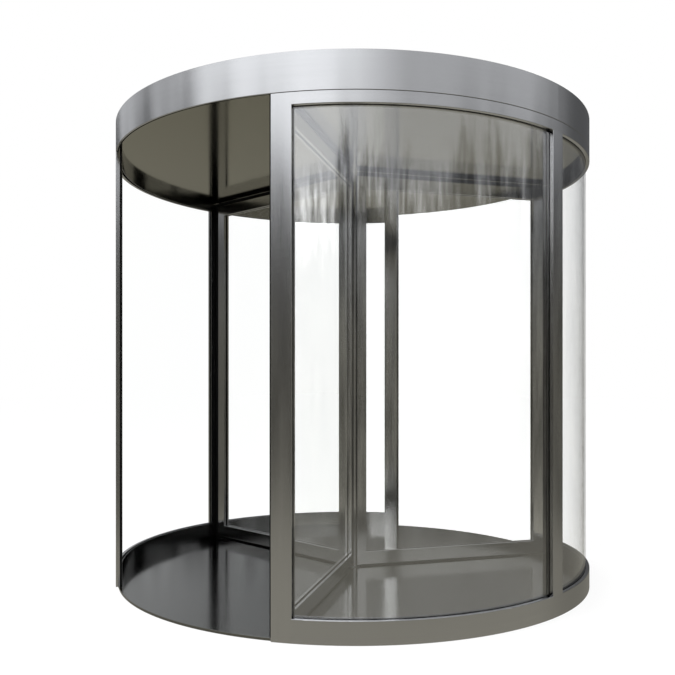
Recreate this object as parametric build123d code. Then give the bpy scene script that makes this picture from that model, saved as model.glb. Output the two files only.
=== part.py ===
"""Three-wing revolving door: a curved-glass drum with two openings, a canopy and a turning rotor.

Frame: +Z is up and the origin is at the centre of the drum, level with the ground.
People walk through along Y. The front opening faces -Y, and the glazed walls face +X and -X.
Lengths are in millimetres and angles in degrees, counted about +Z from +X.
"""

from build123d import *
from math import degrees, sqrt
import os

# ---------------------------------------------------------------- overall sizes
DRUM_RADIUS = 1263.0  # outer face of posts, rails and fascia
PASSAGE_HEIGHT = 2200.0  # floor plate to ceiling
CANOPY_HEIGHT = 162.0
WING_COUNT = 3

# ---------------------------------------------------------------- floor
FLOOR_THICKNESS = 12.0
FLOOR_INSET = 12.0  # edge of the plate behind the drum's outer face
FLOOR_CHAMFER = 1.0
FLOOR_BEARING_RADIUS = 45.0
FLOOR_BEARING_BASE = 2.0  # closed bottom below the pivot

# ---------------------------------------------------------------- drum frame
FRAME_DEPTH = 32.0  # radial depth of posts and rails
JAMB_OPENING_SIDE = 41.5  # from a jamb's own line to its edge at the opening, along the outer face
JAMB_PANE_SIDE = 47.0  # from the same line to its edge at the pane
MULLION_WIDTH = 84.0
BASE_RAIL_HEIGHT = 98.0
HEADER_HEIGHT = 52.0
FRAME_ROUNDING = 2.0  # round the panes and at the openings
SEAM_HEIGHT = 2.0  # shadow line under the fascia, as deep as the ceiling's edge lies
STRIP_STANDOUT = 12.0  # rubber strip on the face that a jamb turns to its opening
STRIP_WIDTH = 10.5
STRIP_INSET = 2.5  # behind the drum's inner face
STRIP_ROUNDING = 1.5

# ---------------------------------------------------------------- glazing
GLASS_THICKNESS = 9.0
GLASS_BITE = 10.0  # curved glass hidden in the frame
GROOVE_DEPTH = 12.0
GROOVE_LIP = 2.5  # metal between a curved pane's groove and the drum's inner face
GASKET_WALL = 1.5  # rubber on each face of the glass
GASKET_SHOWING = 1.0  # rubber seen beside the drum's frame
RUBBER_FIT = 0.1  # round the rubber in a wing's grooves, and between its packer and its stile
CURVED_FIT = 0.2  # between curved faces that lie on each other

# ---------------------------------------------------------------- canopy
FASCIA_THICKNESS = 8.0
CEILING_THICKNESS = 4.0
CEILING_GAP = 5.0  # shadow gap between ceiling and fascia
RING_BEAM_DEPTH = 62.0
RING_BEAM_WALL = 6.0
ROOF_THICKNESS = 4.0
ROOF_RECESS = 8.0
CEILING_BEARING_RADIUS = 60.0
CEILING_BEARING_HEIGHT = 40.0

# ---------------------------------------------------------------- rotor
RUNNING_CLEARANCE = 5.0  # between the rotor and anything fixed
BEARING_CLEARANCE = 0.05  # radial, at the pivot and the journal
PIVOT_LIFT = 0.3  # pivot above the closed bottom of its bearing
SHAFT_FLAT_RADIUS = 24.0  # axis to each of the six flats
PIVOT_RADIUS = 15.0
JOURNAL_RADIUS = 22.0
JOURNAL_STANDOUT = 6.0  # journal above the ceiling bearing
WING_THICKNESS = 38.0
WING_ROUNDING = 1.5
PACKER_THICKNESS = 3.5  # black packer between the shaft and each wing
PACKER_WIDTH = 32.0
INNER_STILE_WIDTH = 53.5
OUTER_STILE_WIDTH = 63.0
BOTTOM_RAIL_HEIGHT = 71.0
TOP_RAIL_HEIGHT = 66.0
SEAL_BLADE_THICKNESS = 8.0
FOOT_SEAL_THICKNESS = 30.0
SEAL_CARRIER_THICKNESS = 16.0
SEAL_CARRIER_DEPTH = 10.0
SIDE_SEAL_REACH = 41.0  # outer stile to the tip of its seal
TOP_SEAL_REACH = 23.0
TOP_CARRIER_DEPTH = 8.0
BOTTOM_SEAL_REACH = 5.0
SEAL_SPLIT = 0.5  # between two seals that meet at a corner

# ---------------------------------------------------------------- derived levels and radii
CEILING_LEVEL = FLOOR_THICKNESS + PASSAGE_HEIGHT
CANOPY_TOP = CEILING_LEVEL + CANOPY_HEIGHT
HEADER_BOTTOM = CEILING_LEVEL - HEADER_HEIGHT
CEILING_TOP = CEILING_LEVEL + CEILING_THICKNESS
ROOF_TOP = CANOPY_TOP - ROOF_RECESS
ROOF_BOTTOM = ROOF_TOP - ROOF_THICKNESS
FRAME_INNER = DRUM_RADIUS - FRAME_DEPTH
GROOVE_WIDTH = GLASS_THICKNESS + 2 * GASKET_WALL
GLASS_RADIUS = FRAME_INNER + GROOVE_LIP + GROOVE_WIDTH / 2
FLOOR_RADIUS = DRUM_RADIUS - FLOOR_INSET
FASCIA_INNER = DRUM_RADIUS - FASCIA_THICKNESS
CEILING_RADIUS = FASCIA_INNER - CEILING_GAP
CANOPY_FRAME_RADIUS = FASCIA_INNER - CURVED_FIT
PIVOT_BORE = PIVOT_RADIUS + BEARING_CLEARANCE
JOURNAL_BORE = JOURNAL_RADIUS + BEARING_CLEARANCE
CEILING_HOLE = JOURNAL_RADIUS + RUNNING_CLEARANCE

# Posts stand at every half step of the wings, so three wings close against three posts at once.
POST_STEP = 360 / (2 * WING_COUNT)
WALL_REACH = POST_STEP + degrees(JAMB_OPENING_SIDE / DRUM_RADIUS)
BAY_REACH = POST_STEP - degrees(JAMB_PANE_SIDE / DRUM_RADIUS)
HALF_MULLION = degrees(MULLION_WIDTH / 2 / DRUM_RADIUS)
WING_ANGLES = [180 + 360 / WING_COUNT * turn for turn in range(WING_COUNT)]

# Each wall's middle angle, and which way round it its front and back ends lie.
WALL_ANGLES = {"right": 0, "left": 180}
WALL_ENDS = {"right": {"front": -1, "back": 1}, "left": {"front": 1, "back": -1}}

SEAL_TIP_RADIUS = FRAME_INNER - RUNNING_CLEARANCE
SEAL_TIP = sqrt(SEAL_TIP_RADIUS**2 - (SEAL_BLADE_THICKNESS / 2) ** 2)
SEAL_TOP = CEILING_LEVEL - RUNNING_CLEARANCE
SEAL_BOTTOM = FLOOR_THICKNESS + RUNNING_CLEARANCE
WING_EDGE = SEAL_TIP - SIDE_SEAL_REACH
WING_TOP = SEAL_TOP - TOP_SEAL_REACH
WING_BOTTOM = SEAL_BOTTOM + BOTTOM_SEAL_REACH
WING_START = SHAFT_FLAT_RADIUS + PACKER_THICKNESS
WING_DAYLIGHT = (
    WING_START + INNER_STILE_WIDTH,
    WING_EDGE - OUTER_STILE_WIDTH,
    WING_BOTTOM + BOTTOM_RAIL_HEIGHT,
    WING_TOP - TOP_RAIL_HEIGHT,
)


# ---------------------------------------------------------------- shapes
def ring_sector(inner, outer, start, end):
    """Flat piece of a ring between two radii and two angles."""
    outside = CenterArc((0, 0), outer, start, end - start)
    inside = CenterArc((0, 0), inner, start, end - start)
    sides = [Line(inside @ 0, outside @ 0), Line(inside @ 1, outside @ 1)]
    return make_face([outside, inside, *sides])


def raise_face(face, bottom, top):
    """Extrude a flat face from one level to another."""
    return Pos(0, 0, bottom) * extrude(face, top - bottom, dir=(0, 0, 1))


def curved_slab(inner, outer, start, end, bottom, top):
    return raise_face(ring_sector(inner, outer, start, end), bottom, top)


def disc(radius, bottom, top):
    return raise_face(Circle(radius), bottom, top)


def section(inner, outer, bottom, top, rounding=0):
    """Rectangle in the plane that holds the axis, to be turned about it."""
    width = outer - inner
    height = top - bottom
    flat = RectangleRounded(width, height, rounding) if rounding else Rectangle(width, height)
    return Plane.XZ * Pos((inner + outer) / 2, (bottom + top) / 2) * flat


def turn(profile, start=0, end=360):
    return Rot(0, 0, start) * revolve(profile, Axis.Z, end - start)


def bar_z(start, end, thickness, bottom, top):
    """Upright bar from one distance to another along X, centred on the plane Y = 0."""
    return raise_face(Pos((start + end) / 2, 0) * Rectangle(end - start, thickness), bottom, top)


# ---------------------------------------------------------------- drum: floor and bearings
def make_floor_plate():
    plate = disc(FLOOR_RADIUS, 0, FLOOR_THICKNESS)
    rims = plate.edges().filter_by(GeomType.CIRCLE).group_by(Axis.Z)[-1]
    plate = chamfer(rims, FLOOR_CHAMFER)
    plate -= disc(FLOOR_BEARING_RADIUS + CURVED_FIT, 0, FLOOR_THICKNESS)
    reach = WALL_REACH + degrees(CURVED_FIT / DRUM_RADIUS)
    for angle in WALL_ANGLES.values():
        room = (FRAME_INNER - CURVED_FIT, DRUM_RADIUS)
        plate -= curved_slab(*room, angle - reach, angle + reach, 0, FLOOR_THICKNESS)
    return plate


def make_floor_bearing():
    bearing = disc(FLOOR_BEARING_RADIUS, 0, FLOOR_THICKNESS)
    return bearing - disc(PIVOT_BORE, FLOOR_BEARING_BASE, FLOOR_THICKNESS)


def make_ceiling_bearing():
    top = CEILING_TOP + CEILING_BEARING_HEIGHT
    return disc(CEILING_BEARING_RADIUS, CEILING_TOP, top) - disc(JOURNAL_BORE, CEILING_TOP, top)


# ---------------------------------------------------------------- drum: walls
def bay_slab(bay, thickness, grow):
    """Slab that fills a bay's daylight, made larger or smaller by grow on every side."""
    start, end = bay
    spread = degrees(grow / GLASS_RADIUS)
    inner = GLASS_RADIUS - thickness / 2
    outer = GLASS_RADIUS + thickness / 2
    bottom = BASE_RAIL_HEIGHT - grow
    top = HEADER_BOTTOM + grow
    return curved_slab(inner, outer, start - spread, end + spread, bottom, top)


def wall_bays(side):
    """The two glazed bays of a wall, front and back, each as its start and end angle."""
    middle = WALL_ANGLES[side]
    return {
        end: (middle + HALF_MULLION, middle + BAY_REACH)
        if way > 0
        else (middle - BAY_REACH, middle - HALF_MULLION)
        for end, way in WALL_ENDS[side].items()
    }


def make_wall(side):
    """A whole wall's frame in one piece, rounded round the panes and at the openings."""
    middle = WALL_ANGLES[side]
    span = (middle - WALL_REACH, middle + WALL_REACH)
    wall = curved_slab(FRAME_INNER, DRUM_RADIUS, *span, 0, CEILING_LEVEL)
    bays = wall_bays(side).values()
    for bay in bays:
        wall -= bay_slab(bay, 2 * FRAME_DEPTH, 0)
    sides = wall.edges().filter_by(Axis.Z)
    arcs = wall.edges().filter_by(GeomType.CIRCLE)
    arcs = arcs.filter_by_position(Axis.Z, BASE_RAIL_HEIGHT, HEADER_BOTTOM)
    wall = fillet(sides + arcs, FRAME_ROUNDING)
    outside = DRUM_RADIUS + FRAME_DEPTH
    wall -= curved_slab(CEILING_RADIUS, outside, *span, CEILING_LEVEL - SEAM_HEIGHT, CEILING_LEVEL)
    for bay in bays:
        wall -= bay_slab(bay, GROOVE_WIDTH, GROOVE_DEPTH)
    return wall


def wall_piece(wall, start, end, bottom, top):
    """The part of a wall between two angles and two levels, with the rest cut away."""
    room = (FRAME_INNER - FRAME_DEPTH, DRUM_RADIUS + FRAME_DEPTH)
    low = min(start, end)
    high = max(start, end)
    wall -= curved_slab(*room, low - 2 * WALL_REACH, low, 0, CEILING_LEVEL)
    wall -= curved_slab(*room, high, high + 2 * WALL_REACH, 0, CEILING_LEVEL)
    if bottom > 0:
        wall -= curved_slab(*room, low, high, 0, bottom)
    if top < CEILING_LEVEL:
        wall -= curved_slab(*room, low, high, top, CEILING_LEVEL)
    return wall


def make_mullion(side):
    middle = WALL_ANGLES[side]
    plan = ring_sector(FRAME_INNER, DRUM_RADIUS, middle - HALF_MULLION, middle + HALF_MULLION)
    post = raise_face(fillet(plan.vertices(), FRAME_ROUNDING), BASE_RAIL_HEIGHT, HEADER_BOTTOM)
    for bay in wall_bays(side).values():
        post -= bay_slab(bay, GROOVE_WIDTH, GROOVE_DEPTH)
    return post


def split_wall(side):
    """A wall's frame as its jamb posts, mullion and rails."""
    wall = make_wall(side)
    middle = WALL_ANGLES[side]
    between = (middle - BAY_REACH, middle + BAY_REACH)
    pieces = {
        f"base_rail_{side}": wall_piece(wall, *between, 0, BASE_RAIL_HEIGHT),
        f"header_rail_{side}": wall_piece(wall, *between, HEADER_BOTTOM, CEILING_LEVEL),
        f"mullion_{side}": make_mullion(side),
    }
    for end, way in WALL_ENDS[side].items():
        jamb = (middle + way * BAY_REACH, middle + way * WALL_REACH)
        pieces[f"jamb_post_{end}_{side}"] = wall_piece(wall, *jamb, 0, CEILING_LEVEL)
    return pieces


def make_jamb_strip(side, end):
    """Rubber strip on the face that a jamb turns to its opening."""
    way = WALL_ENDS[side][end]
    root = WALL_ANGLES[side] + way * WALL_REACH
    tip = root + way * degrees(STRIP_STANDOUT / DRUM_RADIUS)
    inner = FRAME_INNER + STRIP_INSET
    plan = ring_sector(inner, inner + STRIP_WIDTH, min(root, tip), max(root, tip))
    return raise_face(fillet(plan.vertices(), STRIP_ROUNDING), FLOOR_THICKNESS, CEILING_LEVEL)


def make_curved_glass(bay):
    return bay_slab(bay, GLASS_THICKNESS, GLASS_BITE)


def make_curved_gasket(bay):
    gasket = bay_slab(bay, GROOVE_WIDTH - 2 * CURVED_FIT, GROOVE_DEPTH)
    gasket -= bay_slab(bay, 2 * GROOVE_WIDTH, -GASKET_SHOWING)
    return gasket - bay_slab(bay, GLASS_THICKNESS + 2 * CURVED_FIT, GLASS_BITE)


# ---------------------------------------------------------------- drum: canopy
def make_canopy_fascia():
    return turn(section(FASCIA_INNER, DRUM_RADIUS, CEILING_LEVEL, CANOPY_TOP, FRAME_ROUNDING))


def make_ceiling_panel():
    panel = disc(CEILING_RADIUS, CEILING_LEVEL, CEILING_TOP)
    return panel - disc(CEILING_HOLE, CEILING_LEVEL, CEILING_TOP)


def make_canopy_frame():
    """Rolled channel that stands on the ceiling panel and carries the fascia and the roof."""
    inner = CANOPY_FRAME_RADIUS - RING_BEAM_DEPTH
    profile = section(inner, CANOPY_FRAME_RADIUS, CEILING_TOP, ROOF_BOTTOM)
    profile -= section(
        inner - RING_BEAM_WALL,
        CANOPY_FRAME_RADIUS - RING_BEAM_WALL,
        CEILING_TOP + RING_BEAM_WALL,
        ROOF_BOTTOM - RING_BEAM_WALL,
    )
    return turn(profile)


def make_canopy_roof():
    return disc(CANOPY_FRAME_RADIUS, ROOF_BOTTOM, ROOF_TOP)


# ---------------------------------------------------------------- rotor
def make_centre_shaft():
    """Six-sided shaft: a wing on every second flat, a pivot below and a journal above."""
    flats = Rot(0, 0, 30) * RegularPolygon(SHAFT_FLAT_RADIUS, 6, major_radius=False)
    shaft = raise_face(flats, WING_BOTTOM, SEAL_TOP)
    shaft += disc(PIVOT_RADIUS, FLOOR_BEARING_BASE + PIVOT_LIFT, WING_BOTTOM)
    journal_top = CEILING_TOP + CEILING_BEARING_HEIGHT + JOURNAL_STANDOUT
    return shaft + disc(JOURNAL_RADIUS, SEAL_TOP, journal_top)


def wing_slab(thickness, grow):
    """Slab that fills a wing's daylight, made larger or smaller by grow on every side."""
    inner, outer, bottom, top = WING_DAYLIGHT
    return bar_z(inner - grow, outer + grow, thickness, bottom - grow, top + grow)


def make_wing_frame():
    """A wing's frame in one piece, with its long edges rounded, inside and outside."""
    frame = bar_z(WING_START, WING_EDGE, WING_THICKNESS, WING_BOTTOM, WING_TOP)
    frame -= wing_slab(2 * WING_THICKNESS, 0)
    across = frame.edges().filter_by(Axis.Y)
    frame = fillet(frame.edges() - across, WING_ROUNDING)
    return frame - wing_slab(GROOVE_WIDTH, GROOVE_DEPTH)


def make_wing():
    """One wing along +X: its frame, glass, rubber and seals."""
    inner, outer, bottom, top = WING_DAYLIGHT
    frame = make_wing_frame()
    room = 2 * WING_THICKNESS
    gasket = wing_slab(GROOVE_WIDTH - 2 * RUBBER_FIT, GROOVE_DEPTH - RUBBER_FIT)
    gasket -= wing_slab(room, 0)
    gasket -= wing_slab(GLASS_THICKNESS + 2 * RUBBER_FIT, GROOVE_DEPTH)
    packer_end = WING_START - RUBBER_FIT
    packer = bar_z(SHAFT_FLAT_RADIUS, packer_end, PACKER_WIDTH, WING_BOTTOM, WING_TOP)
    return {
        "inner_stile": frame & bar_z(WING_START, inner, room, WING_BOTTOM, WING_TOP),
        "outer_stile": frame & bar_z(outer, WING_EDGE, room, WING_BOTTOM, WING_TOP),
        "bottom_rail": frame & bar_z(inner, outer, room, WING_BOTTOM, bottom),
        "top_rail": frame & bar_z(inner, outer, room, top, WING_TOP),
        "glass": wing_slab(GLASS_THICKNESS, GROOVE_DEPTH - RUBBER_FIT),
        "rubber": Compound(children=[gasket, packer]),
        "seals": make_seals(),
    }


def make_seals():
    """Brush seals on a wing's outer, top and bottom edges, the first two in a carrier."""
    carrier_end = WING_EDGE + SEAL_CARRIER_DEPTH
    side = bar_z(WING_EDGE, carrier_end, SEAL_CARRIER_THICKNESS, SEAL_BOTTOM, SEAL_TOP)
    side += bar_z(carrier_end, SEAL_TIP, SEAL_BLADE_THICKNESS, SEAL_BOTTOM, SEAL_TOP)
    run = (SHAFT_FLAT_RADIUS, WING_EDGE - SEAL_SPLIT)
    carrier_top = WING_TOP + TOP_CARRIER_DEPTH
    head = bar_z(*run, SEAL_CARRIER_THICKNESS, WING_TOP, carrier_top)
    head += bar_z(*run, SEAL_BLADE_THICKNESS, carrier_top, SEAL_TOP)
    foot_run = (WING_START, WING_EDGE - SEAL_SPLIT)
    foot = bar_z(*foot_run, FOOT_SEAL_THICKNESS, SEAL_BOTTOM, WING_BOTTOM)
    return Compound(children=[side, head, foot])


# ---------------------------------------------------------------- the door
def make_door():
    nodes = {
        "floor_plate": make_floor_plate(),
        "floor_bearing": make_floor_bearing(),
        "ceiling_bearing": make_ceiling_bearing(),
        "canopy_fascia": make_canopy_fascia(),
        "ceiling_panel": make_ceiling_panel(),
        "canopy_frame": make_canopy_frame(),
        "canopy_roof": make_canopy_roof(),
        "centre_shaft": make_centre_shaft(),
    }
    for side in WALL_ANGLES:
        nodes.update(split_wall(side))
        rubber = [make_jamb_strip(side, end) for end in WALL_ENDS[side]]
        for end, bay in wall_bays(side).items():
            nodes[f"curved_glass_{end}_{side}"] = make_curved_glass(bay)
            rubber.append(make_curved_gasket(bay))
        nodes[f"wall_rubber_{side}"] = Compound(children=rubber)
    for number, angle in enumerate(WING_ANGLES, start=1):
        for name, piece in make_wing().items():
            nodes[f"wing_{number}_{name}"] = Rot(0, 0, angle) * piece
    return nodes


os.makedirs("parts", exist_ok=True)
for node_name, solid in make_door().items():
    export_step(solid, f"parts/{node_name}.step")
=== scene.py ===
# %% [markdown]
# # A three-wing revolving door
#
# The door comes as a fixed frame of CAD solids: a drum of curved glass in brushed steel, with a round
# canopy, and a rotor of three framed wings. This lesson keeps those solids where they are, gives each one
# its finish, models the small things that CAD leaves plain, and sets up a studio.

import bpy
import bmesh
from math import atan2, cos, degrees, pi, radians, sin
from mathutils import Matrix, Vector


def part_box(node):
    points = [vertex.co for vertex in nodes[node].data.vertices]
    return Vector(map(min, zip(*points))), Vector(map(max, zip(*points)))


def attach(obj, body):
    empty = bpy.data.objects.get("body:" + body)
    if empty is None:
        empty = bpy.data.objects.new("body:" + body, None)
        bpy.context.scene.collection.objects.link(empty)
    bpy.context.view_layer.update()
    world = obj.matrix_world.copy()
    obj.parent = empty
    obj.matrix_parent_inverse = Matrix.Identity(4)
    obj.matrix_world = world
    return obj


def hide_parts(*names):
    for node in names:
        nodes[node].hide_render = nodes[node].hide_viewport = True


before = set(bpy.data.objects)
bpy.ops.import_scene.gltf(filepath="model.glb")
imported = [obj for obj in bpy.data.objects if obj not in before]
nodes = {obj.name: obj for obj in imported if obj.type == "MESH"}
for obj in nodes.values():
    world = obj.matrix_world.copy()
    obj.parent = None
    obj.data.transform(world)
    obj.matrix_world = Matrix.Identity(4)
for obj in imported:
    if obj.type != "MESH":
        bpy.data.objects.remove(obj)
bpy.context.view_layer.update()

# %% [markdown]
# ## Measures
#
# Every place is read from the CAD solids, so that a change there moves the new pieces too. Lengths are in
# metres.

# %% Read the door's main measures
floor_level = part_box("floor_plate")[1].z
ceiling_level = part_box("ceiling_panel")[0].z
WINGS = ((1, 180), (2, 300), (3, 60))  # a wing's number and its bearing in degrees
print("clear height", round(ceiling_level - floor_level, 4))

# %% [markdown]
# ## The camera
#
# It stands at chest height, a little below the middle of the door, and looks level, so that uprights stay
# upright. A small lens shift then moves the door to the middle of the view without tilting the camera.

# %% Camera
camera = bpy.data.objects.new("camera", bpy.data.cameras.new("camera"))
bpy.context.scene.collection.objects.link(camera)
camera.location = (3.014, -3.219, 1.077)
camera.rotation_euler = (radians(90), 0, radians(44))
camera.data.sensor_width = 36
camera.data.lens = 42.25
camera.data.shift_x = -0.0027
camera.data.shift_y = 0.0554
camera.data.clip_end = 200
bpy.context.scene.camera = camera
print("camera", round(camera.location.xy.length, 2), "m from the door's axis")

# %% [markdown]
# ## Shader maths as Python
#
# A finish is a tree of nodes. Written node by node it is hard to read, so a small class wraps a socket:
# adding or multiplying two of them adds the Math node that does it, and any other node comes from one
# method.


# %% A socket that Python can reckon with
class Wire:
    """A socket in a node tree. Arithmetic on it adds Math nodes."""

    def __init__(self, tree, socket=None):
        self.tree = tree
        self.socket = socket

    def node(self, kind, settings=None, inputs=None, output=0):
        """Add a node, set it up, feed its sockets, and return one of its outputs."""
        made = self.tree.nodes.new(kind)
        for name, value in (settings or {}).items():
            setattr(made, name, value)
        for name, value in (inputs or {}).items():
            if isinstance(value, Wire):
                self.tree.links.new(value.socket, made.inputs[name])
            else:
                made.inputs[name].default_value = value
        return Wire(self.tree, made.outputs[output])

    def maths(self, operation, *values):
        """Add a Math node."""
        return self.node("ShaderNodeMath", {"operation": operation}, dict(enumerate(values)))

    def __add__(self, other):
        return self.maths("ADD", self, other)

    def __radd__(self, other):
        return self.maths("ADD", other, self)

    def __sub__(self, other):
        return self.maths("SUBTRACT", self, other)

    def __rsub__(self, other):
        return self.maths("SUBTRACT", other, self)

    def __mul__(self, other):
        return self.maths("MULTIPLY", self, other)


# %% [markdown]
# The nodes that come back in several trees get a function each, so that a finish reads as what it does.


# %% Nodes that come back often
def parts(wire, vector):
    """The X, Y and Z of a vector."""
    return [wire.node("ShaderNodeSeparateXYZ", inputs={"Vector": vector}, output=axis) for axis in "XYZ"]


def scaled(wire, vector, factors):
    """A vector or a colour, multiplied part by part."""
    return wire.node("ShaderNodeVectorMath", {"operation": "MULTIPLY"}, {0: vector, 1: factors})


def noise(wire, vector, scale, detail, roughness):
    """A cloudy pattern from 0 to 1."""
    inputs = {"Vector": vector, "Scale": scale, "Detail": detail, "Roughness": roughness}
    return wire.node("ShaderNodeTexNoise", inputs=inputs, output="Fac")


def fade(wire, value, start, end):
    """A smooth step that is 0 up to start and 1 from end on."""
    settings = {"interpolation_type": "SMOOTHSTEP", "clamp": True}
    return wire.node("ShaderNodeMapRange", settings, {"Value": value, "From Min": start, "From Max": end})


def blend(wire, share, low, high):
    """A mix of two colours, each a socket or a tuple of red, green and blue."""
    low, high = [colour if isinstance(colour, Wire) else (*colour, 1) for colour in (low, high)]
    return wire.node("ShaderNodeMix", {"data_type": "RGBA"}, {"Factor": share, 6: low, 7: high}, 2)


def mix(wire, share, first, second):
    """A mix of two shaders."""
    return wire.node("ShaderNodeMixShader", inputs={0: share, 1: first, 2: second})


def bump(wire, strength, height):
    """A normal that is tilted by a height, one millimetre high at most."""
    return wire.node("ShaderNodeBump", inputs={"Strength": strength, "Distance": 0.001, "Height": height})


def new_finish(name):
    """A material with an empty tree, and a wire to build it with."""
    finish = bpy.data.materials.new(name)
    finish.use_nodes = True
    finish.node_tree.nodes.clear()
    return finish, Wire(finish.node_tree)


def to_output(shader, kind="ShaderNodeOutputMaterial"):
    """End a tree with its shader."""
    out = shader.tree.nodes.new(kind)
    shader.tree.links.new(shader.socket, out.inputs["Surface"])


# %% [markdown]
# ## The studio
#
# Brushed metal shows what stands round it, so its surround matters as much as its own finish. In an all
# white room it would look like grey paint. This surround is painted on the world by direction and has three
# plain zones: shaded ground, a dark hedge along the horizon, and a pale studio wall above it. The wall has
# one large window and, across from it, one dark curtain, which give curved metal its bright and dark bands.

# %% World: directions
world = bpy.data.worlds.new("studio")
bpy.context.scene.world = world
world.use_nodes = True
world.node_tree.nodes.clear()
sky = Wire(world.node_tree)
direction = sky.node("ShaderNodeTexCoord", output="Generated")
toward_x, toward_y, toward_z = parts(sky, direction)
rise = sky.maths("ARCSINE", toward_z) * degrees(1)
WINDOW = radians(-80)  # the window's bearing
lit = sky.maths("COSINE", sky.maths("ARCTAN2", toward_y, toward_x) - WINDOW)  # 1 at it, -1 opposite

# %% [markdown]
# ## Foliage
#
# Leaves and stems break a hedge's outline. Noise that is long upwards and fine sideways moves its edges up
# and down, in wide clumps and in thin strands, which gives the ragged, streaky edge that foliage has in
# polished metal. The same strands make light and dark streaks in it. The ground below has none.

# %% World: clumps, tufts and strands
long_upwards = scaled(sky, direction, (1, 1, 0.10))
clumps = noise(sky, long_upwards, 3, 1, 0.5) - 0.5
tufts = noise(sky, long_upwards, 14, 3, 0.65) - 0.5
strands = noise(sky, long_upwards, 75, 3, 0.65) - 0.5
CLUMP_HEIGHT, TUFT_HEIGHT, STRAND_HEIGHT = 20, 10, 15  # degrees
above_ground = fade(sky, rise, -12, -6)
level = rise + (clumps * CLUMP_HEIGHT + tufts * TUFT_HEIGHT + strands * STRAND_HEIGHT) * above_ground

# %% World: ground, hedge and wall
GROUND, HEDGE, WALL = 0.3, 0.1, 0.6
WINDOW_LIGHT, CURTAIN_SHADE, GROUND_SHADE = 0.8, 0.5, 0.1  # what they add to a zone or take from it
HEDGE_FOOT, HEDGE_TOP = -10, 15  # degrees
SOFT_EDGE = 3  # half of an edge's width, in degrees
window = fade(sky, lit, 0.5, 1.0)
curtain = 1 - fade(sky, lit, -1.0, -0.5)
wall = window * WINDOW_LIGHT - curtain * CURTAIN_SHADE + WALL
ground = curtain * -GROUND_SHADE + GROUND
above_foot = fade(sky, level, HEDGE_FOOT - SOFT_EDGE, HEDGE_FOOT + SOFT_EDGE)
above_top = fade(sky, level, HEDGE_TOP - SOFT_EDGE, HEDGE_TOP + SOFT_EDGE)
low_tone = above_foot * (HEDGE - ground) + ground
tone = low_tone + (wall - low_tone) * above_top

# %% World: tints and streaks
WARM, COOL = (1.04, 1.00, 0.86), (0.98, 1.00, 1.04)  # paving throws back a warmer light than the sky does
STREAK_CONTRAST, DARKEST = 10, 0.1  # how strong the streaks are, and the least that they leave of a tone
in_the_hedge = above_ground * (1 - fade(sky, rise, 10, 16))
streaks = sky.maths("MAXIMUM", strands * STREAK_CONTRAST * in_the_hedge + 1, DARKEST)
surround = scaled(sky, blend(sky, fade(sky, rise, 0, 15), WARM, COOL), tone * streaks)

# %% [markdown]
# ## Who sees what
#
# Only mirrors see these zones. The camera sees plain white behind the door, and plain white lights it
# evenly.

# %% World: for mirrors and for the rest
mirrored = sky.node("ShaderNodeBackground", inputs={"Color": surround, "Strength": 1})
plain_white = sky.node("ShaderNodeBackground", inputs={"Color": (1, 1, 1, 1), "Strength": 1})
is_glossy = sky.node("ShaderNodeLightPath", output="Is Glossy Ray")
to_output(mix(sky, is_glossy, plain_white, mirrored), "ShaderNodeOutputWorld")
world.cycles.sampling_method = "NONE"
print("nodes in the world:", len(world.node_tree.nodes))

# %% [markdown]
# ## Lamps
#
# Two large soft area lamps model the rubber and the brushes and lay a faint shadow under the door. They are
# hidden from mirrors, because the surround already gives the metal its reflections.


# %% Soft lamps
LAMP_SIZE = 4.0
DOOR_MIDDLE = Vector((0, 0, 1.1))


def soft_lamp(name, place, power):
    """A square lamp that faces the middle of the door."""
    lamp = bpy.data.objects.new(name, bpy.data.lights.new(name, "AREA"))
    bpy.context.scene.collection.objects.link(lamp)
    lamp.location = place
    lamp.rotation_euler = (DOOR_MIDDLE - Vector(place)).to_track_quat("-Z", "Y").to_euler()
    lamp.data.size = LAMP_SIZE
    lamp.data.energy = power
    lamp.visible_camera = False
    lamp.visible_glossy = False
    print(name, power, "W")


soft_lamp("key_lamp", (-1.5, -6.0, 5.0), 260)
soft_lamp("fill_lamp", (5.5, -1.5, 3.5), 120)

# %% [markdown]
# ## The floor
#
# A plain pale floor. It is almost white to the camera and keeps only a soft shadow under the door. Mirrors
# don't see it, so that the metal's lower half shows the warm ground of the surround.

# %% Floor
bpy.ops.object.select_all(action="DESELECT")
bpy.ops.mesh.primitive_plane_add(size=60, location=(0, 0, -0.001))
floor = bpy.context.object
floor.name = "studio_floor"
floor.visible_glossy = False
SHARE_OF_WHITE = 0.8  # the rest of it shows the shadow
pale_floor, paint = new_finish("pale_floor")
matt = paint.node("ShaderNodeBsdfDiffuse", inputs={"Color": (1, 1, 1, 1)})
white = paint.node("ShaderNodeEmission", inputs={"Color": (1, 1, 1, 1), "Strength": 1})
to_camera = paint.node("ShaderNodeLightPath", output="Is Camera Ray")
to_output(mix(paint, to_camera * SHARE_OF_WHITE, matt, white))
floor.data.materials.append(pale_floor)
print("floor", round(floor.dimensions.x), "m wide")


# %% [markdown]
# ## Brushed steel
#
# The steel is ground with a belt, so its face is covered with fine parallel scratches. They blur a
# reflection across their own direction and leave it sharp along it. A Principled shader does that with
# Anisotropic. The scratches also show as faint lines of lighter and darker metal, which a noise texture
# gives when its coordinates are squeezed across the scratches.


# %% Brushed steel
SQUEEZE = 120  # how many times finer the scratches are across than along


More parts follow.
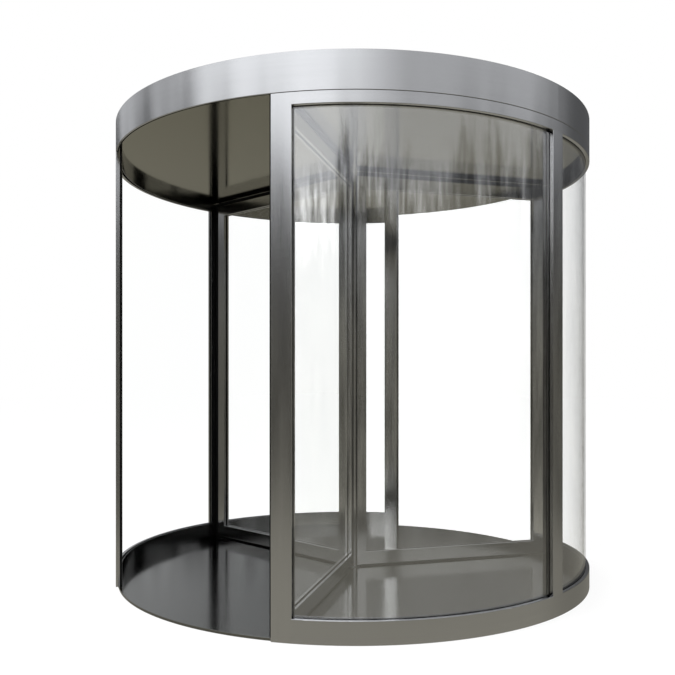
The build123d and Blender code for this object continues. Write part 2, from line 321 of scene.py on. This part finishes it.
def brushed(name, run, shades, rough, spread=0.03, stretch=0.0, turn=0.0, scratch=0.0):
    """Brushed steel. run says which way the scratches run: hoop, upright, or an angle in the plan.

    shades are its darkest and its lightest colour, rough its roughness and spread how much that varies;
    stretch and turn say how far a reflection is drawn out and which way; scratch is the bump's strength.
    """
    finish, wire = new_finish(name)
    here = wire.node("ShaderNodeTexCoord", output="Object")
    x, y, z = parts(wire, here)
    if run == "hoop":
        squeezed = x, y, (z + wire.maths("SQRT", x * x + y * y)) * SQUEEZE
    elif run == "upright":
        squeezed = x * SQUEEZE, y * SQUEEZE, z
    else:
        along = x * cos(radians(run)) + y * sin(radians(run))
        across = y * cos(radians(run)) - x * sin(radians(run))
        squeezed = along, across * SQUEEZE, z * SQUEEZE
    lines = wire.node("ShaderNodeCombineXYZ", inputs=dict(zip("XYZ", squeezed)))
    fine = noise(wire, lines, 3.0, 4, 0.7)
    broad = noise(wire, lines, 0.45, 2, 0.5)
    cloud = noise(wire, here, 2.2, 3, 0.6)
    inputs = {
        "Base Color": blend(wire, fine * 0.55 + broad * 0.25 + cloud * 0.2, *shades),
        "Metallic": 1.0,
        "Roughness": rough + (fine - 0.5) * 0.08 + (cloud - 0.5) * spread,
        "Anisotropic": stretch,
        "Anisotropic Rotation": turn,
    }
    if scratch:
        inputs["Normal"] = bump(wire, scratch, fine)
    to_output(wire.node("ShaderNodeBsdfPrincipled", inputs=inputs))
    return finish


# %% [markdown]
# The rings round the drum are brushed along their run, uprights along their height and a wing's rails along
# the wing, so each direction gets a steel of its own. The floor and the ceiling are sheets whose darker
# colour, olive on the ceiling, is painted shade and painted reflection of the dim inside of the drum. The
# bearings are turned.

# %% Brushed steel, in each direction it is used
SATIN = (0.54, 0.54, 0.54), (0.68, 0.68, 0.68)
RAIL = (0.52, 0.52, 0.51), (0.66, 0.66, 0.65)
# painted shade: the floor's and the ceiling's steel are darkened, the ceiling's tinted olive, for the dim
# drum
FLOOR_PAINTED_SHADE = (0.19, 0.19, 0.18), (0.27, 0.27, 0.25)
CEILING_PAINTED_SHADE = (0.28, 0.27, 0.215), (0.38, 0.365, 0.29)
TURNED = (0.34, 0.34, 0.34), (0.46, 0.46, 0.46)
hoop_steel = brushed("hoop_steel", "hoop", SATIN, 0.17, stretch=0.7, turn=0.25)
upright_steel = brushed("upright_steel", "upright", SATIN, 0.15, stretch=0.3, turn=0.25)
rail_steel = {
    number: brushed(f"rail_steel_{number}", angle, RAIL, 0.15, stretch=0.3, turn=0.25)
    for number, angle in WINGS
}
floor_steel = brushed("floor_steel", "upright", FLOOR_PAINTED_SHADE, 0.13)
ceiling_steel = brushed("ceiling_steel", "upright", CEILING_PAINTED_SHADE, 0.11)
bearing_steel = brushed("bearing_steel", "hoop", TURNED, 0.32, spread=0.05, stretch=0.4, scratch=0.02)

# %% [markdown]
# ## Paint, sheet, rubber and bristle
#
# The canopy's hidden ring is black, and that black is painted shade: it shows as the dark line in the gap
# between the ceiling and the fascia. Its lid is coated grey sheet, and the gaskets and brushes are black
# too.
# Flat black would look like a hole in the door, so each of them has a grain of its own size: fine noise
# varies the colour, the roughness and the bump a little, and wide noise adds the clouding of dust and wear.


# %% Matt coatings
def coating(name, low, high, rough, grain, metal=0.0, shine=0.5):
    """A dull finish between two colours, with a grain: the larger the number, the finer it is."""
    finish, wire = new_finish(name)
    here = wire.node("ShaderNodeTexCoord", output="Object")
    speckle = noise(wire, here, grain, 4, 0.6)
    cloud = noise(wire, here, 3.0, 3, 0.55)
    inputs = {
        "Base Color": blend(wire, speckle * 0.6 + cloud * 0.4, low, high),
        "Metallic": metal,
        "Roughness": rough + (speckle - 0.5) * 0.2,
        "Specular IOR Level": shine,
        "Normal": bump(wire, 0.12, speckle),
    }
    to_output(wire.node("ShaderNodeBsdfPrincipled", inputs=inputs))
    return finish


# painted shade: the canopy ring is black so that the gap under the fascia shows a dark shadow line
black_paint = coating("black_paint", (0.004, 0.004, 0.004), (0.012, 0.012, 0.012), 0.6, 300, shine=0.2)
roof_sheet = coating("roof_sheet", (0.24, 0.245, 0.25), (0.36, 0.365, 0.37), 0.42, 240, metal=0.8)
black_rubber = coating("black_rubber", (0.001, 0.001, 0.001), (0.004, 0.004, 0.004), 0.7, 500, shine=0.1)
black_brush = coating("black_brush", (0.001, 0.001, 0.001), (0.006, 0.006, 0.006), 0.8, 700, shine=0.05)

# %% [markdown]
# ## Glass
#
# Toughened glass. It lets nearly everything through and lays its reflection over it. A glass shader would
# bend the light through every pane and need many bounces; this one mixes clear and mirror by the angle of
# view, which a Layer Weight node gives, and it is quick. The drum's curved panes mirror the daylight only
# on the side that faces it. On the inner side, where the surface turns towards the drum's axis, they would
# mirror the shaded drum, so they stay clear.


# %% Glass
def glass(name, mirror, rim, outside_only=False):
    """A clear pane. mirror is its reflection square on, rim how fully it mirrors at a glancing angle."""
    finish, wire = new_finish(name)
    clear = wire.node("ShaderNodeBsdfTransparent", inputs={"Color": (0.997, 0.999, 0.998, 1)})
    grazing = wire.node("ShaderNodeLayerWeight", inputs={"Blend": 0.35}, output="Facing")
    shine = {"Roughness": 0.05, "Anisotropy": 0.4, "Rotation": 0.25}
    weak = wire.node("ShaderNodeBsdfAnisotropic", inputs={"Color": (mirror, mirror, mirror, 1), **shine})
    strong = wire.node("ShaderNodeBsdfAnisotropic", inputs={"Color": (0.95, 0.95, 0.95, 1), **shine})
    pane = mix(wire, grazing * grazing * grazing * rim, clear, strong)
    shader = wire.node("ShaderNodeAddShader", inputs={0: pane, 1: weak})
    if outside_only:
        from_axis = scaled(wire, wire.node("ShaderNodeTexCoord", output="Object"), (1, 1, 0))
        facing = wire.node("ShaderNodeTexCoord", output="Normal")
        dot = {"operation": "DOT_PRODUCT"}
        outward = wire.node("ShaderNodeVectorMath", dot, {0: from_axis, 1: facing}, "Value")
        shader = mix(wire, wire.maths("GREATER_THAN", outward, 0), clear, shader)
    to_output(shader)
    return finish


curved_pane = glass("curved_pane", 0.15, 1.0, outside_only=True)
wing_pane = glass("wing_pane", 0.03, 0.2)

# %% [markdown]
# ## Giving each node its finish
#
# The CAD nodes keep their meshes and get their looks through their material slots. A list of all 45 would
# be long, but a node's name says what it is, so one short function reads the finish from the name.


# %% Assign the finishes
def finish_for(name):
    """The finish of a node, read from its name."""
    if "glass" in name:
        return wing_pane if name.startswith("wing") else curved_pane
    if "rubber" in name:
        return black_rubber
    if "seals" in name:
        return black_brush
    if name.startswith("wing") and "rail" in name:
        return rail_steel[int(name.split("_")[1])]
    if name.startswith(("canopy_fascia", "base_rail", "header_rail")):
        return hoop_steel
    plain = {
        "floor_plate": floor_steel,
        "ceiling_panel": ceiling_steel,
        "floor_bearing": bearing_steel,
        "ceiling_bearing": bearing_steel,
        # the canopy ring's black is painted shade, the shadow line of the gap under the fascia
        "canopy_frame": black_paint,
        "canopy_roof": roof_sheet,
    }
    return plain.get(name, upright_steel)


for name, piece in nodes.items():
    for slot in piece.material_slots:
        slot.material = finish_for(name)
    if not piece.material_slots:
        piece.data.materials.append(finish_for(name))
print("finishes:", len(bpy.data.materials))

# %% [markdown]
# ## Modelling tools
#
# Each new piece starts as a primitive and is shaped in edit mode. Faces are picked by where they lie,
# because an operator acts on all that is selected. A few helpers keep the cells short.


# %% Pick, shape and finish
def start(kind, **settings):
    """Add one primitive with nothing else selected, and give it its real size."""
    bpy.ops.object.select_all(action="DESELECT")
    getattr(bpy.ops.mesh, f"primitive_{kind}_add")(**settings)
    bpy.ops.object.transform_apply(location=True, rotation=True, scale=True)
    return bpy.context.object


def pick(piece, where):
    """In edit mode, select the faces whose middle and normal pass the test."""
    mesh = bmesh.from_edit_mesh(piece.data)
    bpy.ops.mesh.select_all(action="DESELECT")
    bpy.ops.mesh.select_mode(type="FACE")
    for face in mesh.faces:
        face.select_set(where(face.calc_center_median(), face.normal))
    mesh.select_flush_mode()
    bmesh.update_edit_mesh(piece.data)


def pick_points(piece, where):
    """In edit mode, select the points that pass the test."""
    mesh = bmesh.from_edit_mesh(piece.data)
    bpy.ops.mesh.select_mode(type="VERT")
    bpy.ops.mesh.select_all(action="DESELECT")
    for point in mesh.verts:
        point.select_set(where(point.co))
    mesh.select_flush_mode()
    bmesh.update_edit_mesh(piece.data)


def repeat(piece, count, step):
    """Copy a piece in a row, inside its own mesh."""
    bpy.context.view_layer.objects.active = piece
    row = piece.modifiers.new("row", "ARRAY")
    row.count = count
    row.use_relative_offset = False
    row.use_constant_offset = True
    row.constant_offset_displace = step
    bpy.ops.object.modifier_apply(modifier="row")


def turned(piece, angle, axis, place):
    """Turn a mesh about the origin and then move it, with the object left at the origin."""
    piece.data.transform(Matrix.Translation(place) @ Matrix.Rotation(angle, 4, axis))
    return piece


def copy_of(piece, name):
    """The same piece again, with a mesh of its own."""
    copy = bpy.data.objects.new(name, piece.data.copy())
    bpy.context.scene.collection.objects.link(copy)
    return copy


def join(name, *pieces):
    """Make several pieces one."""
    bpy.ops.object.select_all(action="DESELECT")
    for piece in pieces:
        piece.select_set(True)
    bpy.context.view_layer.objects.active = pieces[0]
    bpy.ops.object.join()
    pieces[0].name = name
    return pieces[0]


def hand_over(piece, finish, body):
    """Give a piece its finish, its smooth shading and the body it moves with."""
    piece.data.materials.clear()
    piece.data.materials.append(finish)
    bpy.ops.object.select_all(action="DESELECT")
    piece.select_set(True)
    bpy.context.view_layer.objects.active = piece
    bpy.ops.object.shade_smooth_by_angle(angle=radians(30))
    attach(piece, body)
    print(piece.name, len(piece.data.polygons), "faces")


# %% [markdown]
# ## Brush seals
#
# A wing wipes the posts, the ceiling and the floor with brushes: tufts of black bristle side by side,
# pinched in a channel, so that no draught gets past. The CAD blade is a solid bar that stops well short of
# what it wipes, and it stays for collisions, hidden. Each tuft starts as a cube that is cut into strips,
# notched and narrowed at its tip, and an Array modifier sets it in a row. The brushes end one millimetre
# short of what they would wipe.

# %% Where a wing's brushes lie
SEAL_TO_WALL = 0.005  # how far the CAD blade stops short of the posts
BRUSH_GAP = 0.001
wing_low, wing_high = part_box("wing_1_outer_stile")
wing_edge = -wing_low.x
brush_end = -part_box("wing_1_seals")[0].x + SEAL_TO_WALL - BRUSH_GAP
brush_floor = floor_level + BRUSH_GAP
brush_ceiling = ceiling_level - BRUSH_GAP
print("brush reach", round(brush_end - wing_edge, 4))


# %% One tuft, and a row of them
TUFT_PITCH = 0.009
NOTCH = 0.0015


def tuft(depth, reach):
    """A bundle of bristles that stands on the origin and points along +X, with its notched tip at reach."""
    size = (reach, depth, TUFT_PITCH)
    bundle = start("cube", size=1, location=(reach / 2, 0, TUFT_PITCH / 2), scale=size)
    bpy.ops.object.mode_set(mode="EDIT")
    bpy.ops.mesh.select_all(action="SELECT")
    bpy.ops.mesh.subdivide(number_cuts=2)
    tip = reach - 1e-5
    pick_points(bundle, lambda p: p.x > tip and abs(p.z - TUFT_PITCH / 2) < TUFT_PITCH / 4)
    bpy.ops.transform.translate(value=(-min(NOTCH, reach * 0.15), 0, 0))
    pick_points(bundle, lambda p: p.x > reach * 0.9)
    bpy.ops.transform.resize(value=(1, 0.82, 0.97))
    bpy.ops.object.mode_set(mode="OBJECT")
    return bundle


def brush(depth, reach, length):
    """A row of tufts along +Z."""
    row = tuft(depth, reach)
    repeat(row, int(length / TUFT_PITCH), (0, 0, TUFT_PITCH))
    return row


# %% The channel that holds the bristles
CHANNEL_WIDTH, MOUTH = 0.016, 0.009


def channel(height, length):
    """A bar along +Z with a groove in its +X face, half as deep as the bar is high."""
    size = (height, CHANNEL_WIDTH, length)
    bar = start("cube", size=1, location=(height / 2, 0, length / 2), scale=size)
    bpy.ops.object.mode_set(mode="EDIT")
    pick(bar, lambda middle, normal: normal.x > 0.9)
    bpy.ops.mesh.inset(thickness=(CHANNEL_WIDTH - MOUTH) / 2)
    bpy.ops.mesh.extrude_region_move(TRANSFORM_OT_translate={"value": (-height / 2, 0, 0)})
    pick(bar, lambda middle, normal: normal.x > 0.9 and middle.x > height * 0.9)
    bpy.ops.mesh.bevel(offset=0.0006, segments=2, affect="EDGES")
    bpy.ops.object.mode_set(mode="OBJECT")
    return bar


# %% A wing's three brushes, modelled along +X
BRISTLES, FOOT_BRISTLES = 0.008, 0.028  # how deep a brush is across the wing
SIDE_CHANNEL, HEAD_CHANNEL = 0.010, 0.008  # how far a channel stands out of the frame
HUB = 0.0245  # where the wing's rails begin
INSET = 0.001  # how far the head and foot brushes keep from the wing's edge
edge_length = brush_ceiling - brush_floor
side_reach = brush_end - wing_edge - SIDE_CHANNEL / 2
side_channel = turned(channel(SIDE_CHANNEL, edge_length), 0, "Z", (wing_edge, 0, brush_floor))
side_brush = brush(BRISTLES, side_reach, edge_length)
turned(side_brush, 0, "Z", (wing_edge + SIDE_CHANNEL / 2, 0, brush_floor))

head_start = wing_edge - INSET
head_reach = brush_ceiling - wing_high.z - HEAD_CHANNEL / 2
head_channel = turned(channel(HEAD_CHANNEL, head_start - HUB), -pi / 2, "Y", (head_start, 0, wing_high.z))
head_brush = brush(BRISTLES, head_reach, head_start - HUB)
turned(head_brush, -pi / 2, "Y", (head_start, 0, wing_high.z + HEAD_CHANNEL / 2))

foot_start = -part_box("wing_1_inner_stile")[1].x
foot_brush = brush(FOOT_BRISTLES, wing_low.z - brush_floor, head_start - foot_start)
turned(foot_brush, pi / 2, "Y", (foot_start, 0, wing_low.z))
master = join("brush_master", side_channel, side_brush, head_channel, head_brush, foot_brush)
print("brush master", len(master.data.polygons), "faces")

# %% The same brushes on each wing
for number, angle in WINGS:
    piece = turned(copy_of(master, f"wing_{number}_brushes"), radians(angle), "Z", (0, 0, 0))
    hand_over(piece, black_brush, "rotor")
    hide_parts(f"wing_{number}_seals")
bpy.data.objects.remove(master)

# %% [markdown]
# ## The threshold trim
#
# At the two openings the floor plate's edge is open to feet and trolleys, so a thin steel strip covers it.
# It is an arc: a thin upright plane gets its upper corners rounded, and Spin sweeps that section round the
# drum's axis.

# %% Trim on the floor plate's edge
TRIM = 0.0015
SHORT_OF_POST = radians(0.4)  # the trim ends this far before the posts
post_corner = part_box("jamb_post_front_right")[0]
plate_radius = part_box("floor_plate")[1].y
opening_half = radians(90) - atan2(-post_corner.y, post_corner.x) - SHORT_OF_POST


def trim_arc(middle):
    """A strip on the plate's edge, centred on a bearing."""
    strip = start("plane", size=1, rotation=(pi / 2, 0, 0))
    bpy.ops.object.mode_set(mode="EDIT")
    bpy.ops.mesh.select_all(action="SELECT")
    bpy.ops.transform.resize(value=(TRIM, 1, floor_level))
    bpy.ops.transform.translate(value=(plate_radius + TRIM / 2, 0, floor_level / 2))
    pick_points(strip, lambda p: p.z > floor_level / 2)
    bpy.ops.mesh.bevel(offset=TRIM * 0.4, segments=2, affect="VERTICES")
    bpy.ops.mesh.select_all(action="SELECT")
    bpy.ops.mesh.spin(steps=64, angle=opening_half * 2, center=(0, 0, 0), axis=(0, 0, 1))
    bpy.ops.mesh.select_all(action="SELECT")
    bpy.ops.mesh.remove_doubles(threshold=1e-6)
    bpy.ops.mesh.normals_make_consistent(inside=False)
    bpy.ops.object.mode_set(mode="OBJECT")
    return turned(strip, middle - opening_half, "Z", (0, 0, 0))


threshold_trim = join("threshold_trim", trim_arc(-pi / 2), trim_arc(pi / 2))
hand_over(threshold_trim, hoop_steel, "drum")

# %% [markdown]
# ## The roof's joints
#
# Nobody sees the lid of the canopy from the ground, but it has to come off for service. It is made of four
# segments, with flat strips screwed over their joints and a round cap where the strips meet. The strip is a
# cube whose upper edges are bevelled; the cap is a cylinder with an inset and raised middle.

# %% Cover strips and cap
roof_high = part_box("canopy_roof")[1]
STRIP_WIDTH, STRIP_HEIGHT, STRIP_INSET = 0.06, 0.002, 0.012
CAP_RADIUS, CAP_HEIGHT, CAP_RIM = 0.16, 0.003, 0.05
strip_length = 2 * (roof_high.x - STRIP_INSET)
strip_top = roof_high.z + STRIP_HEIGHT


def cover_strip(angle):
    """A flat strip across the whole roof."""
    strip = start("cube", size=1, scale=(strip_length, STRIP_WIDTH, STRIP_HEIGHT))
    bpy.ops.object.mode_set(mode="EDIT")
    pick(strip, lambda middle, normal: normal.z > 0.9)
    bpy.ops.mesh.bevel(offset=0.0007, segments=2, affect="EDGES")
    bpy.ops.object.mode_set(mode="OBJECT")
    return turned(strip, angle, "Z", (0, 0, roof_high.z + STRIP_HEIGHT / 2))


cap_middle = (0, 0, strip_top + CAP_HEIGHT / 2)
cap = start("cylinder", vertices=96, radius=CAP_RADIUS, depth=CAP_HEIGHT, location=cap_middle)
bpy.ops.object.mode_set(mode="EDIT")
pick(cap, lambda middle, normal: normal.z > 0.9)
bpy.ops.mesh.inset(thickness=CAP_RIM)
bpy.ops.mesh.extrude_region_move(TRANSFORM_OT_translate={"value": (0, 0, CAP_HEIGHT / 2)})
bpy.ops.mesh.bevel(offset=0.0006, segments=2, affect="EDGES")
pick(cap, lambda middle, normal: normal.z > 0.99)
bpy.ops.mesh.inset(thickness=0.002)
bpy.ops.object.mode_set(mode="OBJECT")
roof_joints = join("roof_joints", cover_strip(0), cover_strip(pi / 2), cap)
hand_over(roof_joints, roof_sheet, "drum")

# %% [markdown]
# ## The roof's screws
#
# Pairs of slotted screws hold the strips, and eight more hold the cap. One is modelled, a bevelled disc
# with a slot that is cut by an inset and an extrusion, and copied to each place with its slot turned its
# own way.


# %% Screws
def screw_head(radius, height):
    """A low round head with a straight slot, standing on the origin."""
    head = start("cylinder", vertices=24, radius=radius, depth=height, location=(0, 0, height / 2))
    bpy.ops.object.mode_set(mode="EDIT")
    pick(head, lambda middle, normal: normal.z > 0.9)
    bpy.ops.mesh.bevel(offset=height * 0.4, segments=3, affect="EDGES")
    pick(head, lambda middle, normal: normal.z > 0.99)
    bpy.ops.mesh.inset(thickness=radius * 0.25)
    bpy.ops.transform.resize(value=(1, 0.25, 1))
    bpy.ops.mesh.extrude_region_move(TRANSFORM_OT_translate={"value": (0, 0, -height * 0.4)})
    bpy.ops.object.mode_set(mode="OBJECT")
    return head


STRIP_SCREWS = (0.24, 0.44, 0.64, 0.84, 1.04, 1.20)  # how far they are from the middle
HALF_PAIR = 0.02
CAP_SCREWS, CAP_SCREW_CIRCLE = 8, 0.14  # their number, and how far they are from the middle
places = []
for arm in range(4):
    for distance in STRIP_SCREWS:
        for side in (-HALF_PAIR, HALF_PAIR):
            places.append(Matrix.Rotation(arm * pi / 2, 4, "Z") @ Vector((distance, side, strip_top)))
for spoke in range(CAP_SCREWS):
    way = Matrix.Rotation((spoke + 0.5) * 2 * pi / CAP_SCREWS, 4, "Z")
    places.append(way @ Vector((CAP_SCREW_CIRCLE, 0, strip_top + CAP_HEIGHT)))
screw = screw_head(0.005, 0.0022)
SLOT_TURN = 2.4  # radians from one screw to the next, so that no two slots line up
screws = [turned(copy_of(screw, "roof_screw"), n * SLOT_TURN, "Z", place) for n, place in enumerate(places)]
bpy.data.objects.remove(screw)
hand_over(join("roof_screws", *screws), bearing_steel, "drum")

# %% [markdown]
# ## Light paths and colour
#
# A view through the drum crosses many panes, so light may pass more clear faces than Blender's standard
# limit. One glossy bounce is enough, because the metal shows the surround and not the metal across from it.

# %% Scene settings
scene = bpy.context.scene
scene.view_settings.view_transform = "Standard"
scene.cycles.transparent_max_bounces = 32
scene.cycles.glossy_bounces = 1
